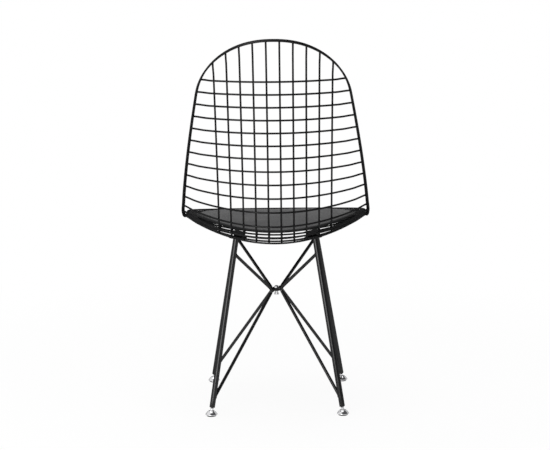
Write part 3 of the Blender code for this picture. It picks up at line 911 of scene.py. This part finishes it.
def addStud(end, side):
    # ball, neck and shoulder turned about the leg's line, and the thread above them
    _, ball, up, _ = legLine(end, side)
    neckTilt = sqrt(1 - (stud["neck"] / stud["ball"]) ** 2)
    tilt = np.linspace(-stud["pole"], asin(neckTilt), num=18)
    ballLine = stud["ball"] * np.stack([np.cos(tilt), np.sin(tilt)], -1)
    core, shoulder = stud["radius"] - stud["threadDeep"], stud["shoulder"]
    shank = filleted([
        (stud["neck"], stud["ball"] * neckTilt + stud["neckLift"], 0),
        (stud["neck"], shoulder, stud["neckRound"]), (core, shoulder, stud["shoulderRound"]),
        (core, shoulder + stud["plainEnd"], 0)])
    plain = lathe(np.concatenate([ballLine, shank]), ball, up, stud["sides"])
    # thread: radius follows a triangle wave of height / pitch - turn
    height = np.linspace(shoulder + stud["threadStart"], stud["top"], num=180)[:, None]
    turn = turnAngles(stud["sides"])[None, :]
    wave = np.abs((height / stud["pitch"] - turn / (2 * pi)) % 1.0 - 0.5) * 2
    radius = stud["radius"] - stud["threadDeep"] * (1 - wave)
    first, second = axisFrame(up)
    ring = around(turn[..., None], first, second)
    thread = ball + radius[..., None] * ring + height[..., None] * up
    grids = [(np.concatenate([plain, thread]), False)]
    body = f"stud_{end}_{side}"
    cornerPiece("stud", "glide_stud", end, side, grids, chrome, body=body, slot="chrome")


foot = {
    # (radius, height, rounding) of each corner, from the middle of the underside to the socket's mouth
    "skin": [(0.0006, 0.0020, 0), (0.0112, 0.0020, 0), (0.0129, 0.0032, 0.0005), (0.0129, 0.0043, 0.0008),
             (0.0100, 0.0084, 0.0050), (0.0064, 0.0116, 0.0006), (0.0050, 0.0116, 0)],
    "tread": [(0.0006, 0.0, 0), (0.0102, 0.0, 0.0006), (0.0109, 0.0023, 0.0002), (0.0006, 0.0023, 0)],
    "sides": 56,
}


def addFoot(end, side):
    # skin and ball socket turned about an upright line, on a nylon tread
    ball = legLine(end, side)[1]
    floor = np.array([ball[0], ball[1], 0.0])
    socket = stud["ball"] + gap
    mouth = foot["skin"][-1][0]
    tilt = np.linspace(np.arccos(mouth / socket), -stud["pole"], num=14)
    hollow = np.stack([socket * np.cos(tilt), base["ballHeight"] + socket * np.sin(tilt)], -1)
    line = np.concatenate([filleted(foot["skin"], steps=9), hollow[1:]])
    saucer = lathe(line, floor, skyward, foot["sides"])
    body = f"foot_{end}_{side}"
    cornerPiece("foot", "glide_foot", end, side, [(saucer, False)], chrome, body=body, slot="chrome")
    tread = lathe(filleted(foot["tread"]), floor, skyward, foot["sides"])
    addPiece(f"tread{end.title()}{side.title()}", [(tread, False)], nylon, body=body)


for end in endSigns:
    for side in sideSigns:
        addClamp(end, side)
        addLeg(end, side)
        addStrut(end, side)
        addStud(end, side)
        addFoot(end, side)
for side in sideSigns:
    addTab(side)
addRivet()
print("base made: legs, struts, clamps, hub and glides")


# Seat pad

pad = {
    "front": 0.035,
    "rear": 0.267,
    "half": 0.1834,
    "edge": 0.0042,  # thickness at the seam
    "crown": 0.011,
    "plump": 4.0,  # 2 is a flat dome, more is fuller towards the edge
    "droop": 0.0028,  # how far the edges hang below the middle
    "droopPower": 10,  # more keeps the droop closer to the edge
    "round": 0.003,
    "waist": 0.022,
    "square": 2.7,
    "cells": 72,  # squares along one side of a sheet
    "sheetEdge": 0.975,
    "beltTurn": 1.2,  # radians above and below the seam
    "beltSpan": 0.42,  # how far up and down the belt goes, as a share of the edge
    "flatter": 0.003,  # the filling swells, so the top starts this much lower
    "flatPower": 4,
    "pressure": 4.0,
    "swellFrames": 20,
    "swell": 0.005,  # farthest a point may move
    "piping": 0.0016,
    "pipingHigh": 0.86,  # share of the edge
    "pipingOut": 0.55,  # share of the edge's bulge
    "paintedShadeStart": 0.96,  # the painted shade of the pad's edge starts here
    "paintedShadeFade": 0.02,
}
padRest = plateReach + gap


def padPoints(u, v, lift, bulge=0.0):
    # nested superellipses, share = max(|u|, |v|), whose sides are drawn in between the corners
    share = np.maximum(np.abs(u), np.abs(v))
    power = pad["square"]
    short = 0.5 ** (1 / power) * np.minimum(np.abs(u), np.abs(v)) / np.maximum(share, tiny)
    far = (1 - short ** power) ** (1 / power)
    wide = np.abs(u) >= np.abs(v)
    x = np.sign(u) * np.where(wide, far, short)
    y = np.sign(v) * np.where(wide, short, far)
    reach = share * (1 - pad["waist"] * (2 * np.abs(x) ** power - 1) ** 2)
    halfDepth = (pad["rear"] - pad["front"]) / 2
    across = x * reach * (pad["half"] - pad["round"] + bulge)
    station = y * reach * (halfDepth - pad["round"] + bulge) + (pad["rear"] + pad["front"]) / 2
    return lifted(across, station, lift + 0 * across)


def padLow(share):
    # height at rest - droop * share^droopPower
    return padRest - pad["droop"] * share ** pad["droopPower"]


def padHigh(share):
    # underside + edge + crown * (1 - share^plump)
    return padLow(share) + pad["edge"] + pad["crown"] * (1 - share ** pad["plump"])


def squareLoop(cells):
    # once round the square from -1 to 1
    line = np.linspace(-1.0, 1.0, cells + 1)[:-1]
    one = np.ones(cells)
    return np.concatenate([line, one, -line, -one]), np.concatenate([-one, line, one, -line])


def padMesh():
    # top sheet, underside sheet and a bulging belt that joins them
    cells = pad["cells"]
    line = pad["sheetEdge"] * np.linspace(-1.0, 1.0, cells + 1)
    u, v = np.meshgrid(line, line, indexing="ij")
    share = np.maximum(np.abs(u), np.abs(v))
    top = padPoints(u, v, padHigh(share) - pad["flatter"] * (1 - share ** pad["flatPower"]))[0]
    under = padPoints(u, v, padLow(share))[0]
    sweep = np.linspace(-pad["beltTurn"], pad["beltTurn"], num=7)[:, None]
    beltLift = padLow(1.0) + pad["edge"] * (0.5 + pad["beltSpan"] * np.sin(sweep))
    belt = padPoints(*squareLoop(cells), beltLift, pad["round"] * np.cos(sweep))[0]
    points = np.concatenate([part.reshape(-1, 3) for part in (top, under, belt)])
    sheet = np.arange((cells + 1) ** 2).reshape(cells + 1, cells + 1)
    edge = np.concatenate([sheet[:-1, 0], sheet[-1, :-1], sheet[:0:-1, -1], sheet[0, :0:-1]])
    loops = np.arange(belt.shape[0] * belt.shape[1]).reshape(belt.shape[:2]) + 2 * sheet.size
    loops = np.concatenate([[edge + sheet.size], loops, [edge]])
    after = np.roll(loops, -1, axis=1)
    squares = np.stack([sheet[:-1, :-1], sheet[1:, :-1], sheet[1:, 1:], sheet[:-1, 1:]], -1).reshape(-1, 4)
    strips = np.stack([loops[:-1], after[:-1], after[1:], loops[1:]], -1).reshape(-1, 4)
    faces = np.concatenate([squares, squares + sheet.size, strips])
    mesh = closedMesh("seatPad", points, faces.tolist())
    # painted shade: underside and belt fully dark, the top sheet darkening towards its edge
    dark = np.ones(len(points))
    dark[:sheet.size] = smoothStep((share.ravel() - pad["paintedShadeStart"]) / pad["paintedShadeFade"])
    markPaintedShade(mesh, dark)
    return mesh, np.setdiff1d(np.arange(len(points)), sheet[1:-1, 1:-1])


def markPaintedShade(mesh, values):
    # 1 where painted shade darkens the pad's edge band, underside and piping
    mesh.attributes.new("paintedEdgeShade", "FLOAT", "POINT").data.foreach_set("value", values)


def vertexPlaces(mesh):
    # a row of x, y and z for each vertex
    values = np.empty((len(mesh.vertices), 3), np.float32)
    mesh.vertices.foreach_get("co", values.ravel())
    return values


def bakeModifiers(piece):
    # swap the mesh for what the modifiers make of it
    graph = bpy.context.evaluated_depsgraph_get()
    made = bpy.data.meshes.new_from_object(piece.evaluated_get(graph), depsgraph=graph)
    piece.modifiers.clear()
    old = piece.data
    piece.data = made
    bpy.data.meshes.remove(old)


def swellPad(piece, held):
    # the filling presses the top out, while the belt and the underside keep their place
    before = vertexPlaces(piece.data)
    piece.vertex_groups.new(name="held").add(held.tolist(), 1.0, "REPLACE")
    cloth = piece.modifiers.new("cloth", "CLOTH")
    cloth.settings.use_pressure = True
    cloth.settings.uniform_pressure_force = pad["pressure"]
    cloth.settings.effector_weights.gravity = 0.0
    cloth.settings.vertex_group_mass = "held"
    for step in range(1, pad["swellFrames"] + 1):
        scene.frame_set(step)
    bakeModifiers(piece)
    scene.frame_set(1)
    move = vertexPlaces(piece.data) - before
    length = np.linalg.norm(move, axis=1, keepdims=True)
    after = before + move * np.minimum(1.0, pad["swell"] / np.maximum(length, tiny))
    piece.data.vertices.foreach_set("co", after.ravel())
    piece.data.update()
    print("pad swelled by up to", round(float(length.max()) * 1000, 2), "mm before the cap")


def addPad():
    # the pad's mesh, swelled and then made finer
    mesh, held = padMesh()
    piece = addObject("seatPad", mesh)
    swellPad(piece, held)
    finer = piece.modifiers.new("finer", "SUBSURF")
    finer.levels = 1
    finer.render_levels = 1
    bakeModifiers(piece)
    mesh = piece.data
    mesh.shade_smooth()
    mesh.materials.append(leather)
    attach(piece, "pad")
    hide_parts("seat_pad")


def addPiping():
    # cord sewn along the top edge, coloured all through with the painted shade of the pad's edge
    lift = padLow(1.0) + pad["edge"] * pad["pipingHigh"]
    path, normal = padPoints(*squareLoop(cells=90), lift, pad["round"] * pad["pipingOut"])
    body = tube(path, normal, pad["piping"], sides=12, closed=True)
    piece = addPiece("padPiping", [(body, True)], leather, body="pad", slot="grey_leather")
    markPaintedShade(piece.data, np.ones(len(piece.data.vertices)))


addPad()
addPiping()
print("seat pad made")


# Floor, light and camera

stage = {
    "floor": (0.96, 0.96, 0.96, 1.0),
    "floorHalf": 30.0, "floorRough": 0.9,
    "shadow": 0.09,  # share of the floor's own shade that shows close to the chair
    "shadowReach": (1.5, 0.45),
    "ambient": 0.46,
    "dim": (0.1, 0.1, 0.104, 1.0),  # the dark side of the studio, right of the camera and overhead
    "dimSide": (-0.55, 0.45, 0.7),
    "dimEdge": (0.4, 0.8),
}
plainWhite = (1.0, 1.0, 1.0, 1.0)


def addFloor():
    # a large square that the camera and mirrors see as white, but for the shade near the chair
    half = stage["floorHalf"]
    mesh = bpy.data.meshes.new("floor")
    corners = [(-half, -half, 0), (half, -half, 0), (half, half, 0), (-half, half, 0)]
    mesh.from_pydata(corners, [], [(0, 1, 2, 3)])
    floor = addObject("floor", mesh)
    finish = Finish("paleFloor")
    mesh.materials.append(finish.set(
        Base_Color=stage["floor"], Roughness=stage["floorRough"], Specular_IOR_Level=0.0))
    glow = finish.node("ShaderNodeEmission", {}, {"Color": plainWhite})
    seen = finish.ray("Is Camera Ray") + finish.ray("Is Glossy Ray") + finish.ray("Is Transmission Ray")
    away = finish.node("ShaderNodeVectorMath", {"operation": "LENGTH"}, {0: finish.place}, "Value")
    near = finish.band(away, *stage["shadowReach"])
    plain = Socket(finish, finish.shader.outputs[0])
    finish.surface("Material Output", finish.node("ShaderNodeMixShader", {}, {
        0: seen * (1 - stage["shadow"] * near), 1: plain, 2: glow}))


def setWorld():
    # even light for the object; mirrors see a white studio with a dark side
    world = bpy.data.worlds.new("studio")
    scene.world = world
    sky = Nodes(world)
    even = sky.node("ShaderNodeBackground", {}, {"Color": plainWhite, "Strength": stage["ambient"]})
    white = sky.node("ShaderNodeBackground", {}, {"Color": plainWhite})
    toward = sky.node("ShaderNodeVectorMath", {"operation": "DOT_PRODUCT"}, {
        0: sky.node("ShaderNodeTexCoord", {}, {}, "Generated"), 1: stage["dimSide"]}, "Value")
    studio = sky.node("ShaderNodeBackground", {}, {
        "Color": sky.blend(sky.band(toward, *stage["dimEdge"]), plainWhite, stage["dim"])})
    mirrored = sky.ray("Is Glossy Ray") + sky.ray("Is Transmission Ray")
    light = sky.node("ShaderNodeMixShader", {}, {0: mirrored, 1: even, 2: studio})
    sky.surface("World Output", sky.node("ShaderNodeMixShader", {}, {
        0: sky.ray("Is Camera Ray"), 1: light, 2: white}))


lamps = {
    "key": {"place": (0.95, 2.15, 0.78), "target": (0.0, 0.0, 0.5), "size": (1.4, 1.4), "power": 38.0},
    "fill": {"place": (-2.6, 1.6, 1.2), "target": (0.0, 0.0, 0.45), "size": (0.8, 1.6), "power": 2.5},
    "top": {"place": (0.2, -0.4, 3.2), "target": (0.0, 0.0, 0.4), "size": (2.4, 2.4), "power": 40.0},
}


def setPlace(holder, place, right, up, back):
    # right, up and back become the columns of its turn
    turn = Matrix(np.stack([right, up, back], -1).tolist()).to_4x4()
    holder.matrix_world = Matrix.Translation(place) @ turn


def addLamp(name, place, target, size, power):
    # area lamp whose back points away from the target
    lamp = bpy.data.lights.new(name, "AREA")
    lamp.shape = "RECTANGLE"
    lamp.size, lamp.size_y = size
    lamp.energy = power
    holder = addObject(name, lamp)
    back = unit(np.array(place) - np.array(target))
    right = unit(np.cross(skyward, back))
    setPlace(holder, place, right, np.cross(back, right), back)


shot = {
    "distance": 4.0091,
    "height": 1.1144,
    "yaw": -0.00877,
    "pitch": 0.17757,
    "roll": -0.01072,
    "sideStep": 0.00175,
    "focalPixels": 1838.1,
    "widthPixels": 550,
    "sensor": 36.0,  # millimetres
}


def addCamera():
    # looks along (-sin yaw cos pitch, -cos yaw cos pitch, -sin pitch), then rolls about that line
    yaw, pitch, roll, reach = shot["yaw"], shot["pitch"], shot["roll"], shot["distance"]
    place = (reach * sin(yaw) + shot["sideStep"], reach * cos(yaw) + chairShift, shot["height"])
    back = np.array([sin(yaw) * cos(pitch), cos(yaw) * cos(pitch), sin(pitch)])
    right = unit(np.cross(skyward, back))
    up = np.cross(back, right)
    right, up = right * cos(roll) + up * sin(roll), up * cos(roll) - right * sin(roll)
    lens = bpy.data.cameras.new("shot")
    lens.sensor_fit = "HORIZONTAL"
    lens.sensor_width = shot["sensor"]
    lens.lens = shot["sensor"] * shot["focalPixels"] / shot["widthPixels"]
    holder = addObject("shot", lens)
    setPlace(holder, place, right, up, back)
    scene.camera = holder


addFloor()
setWorld()
for name, lamp in lamps.items():
    addLamp(name, **lamp)
addCamera()
scene.view_settings.view_transform = "Standard"
print("stage set")
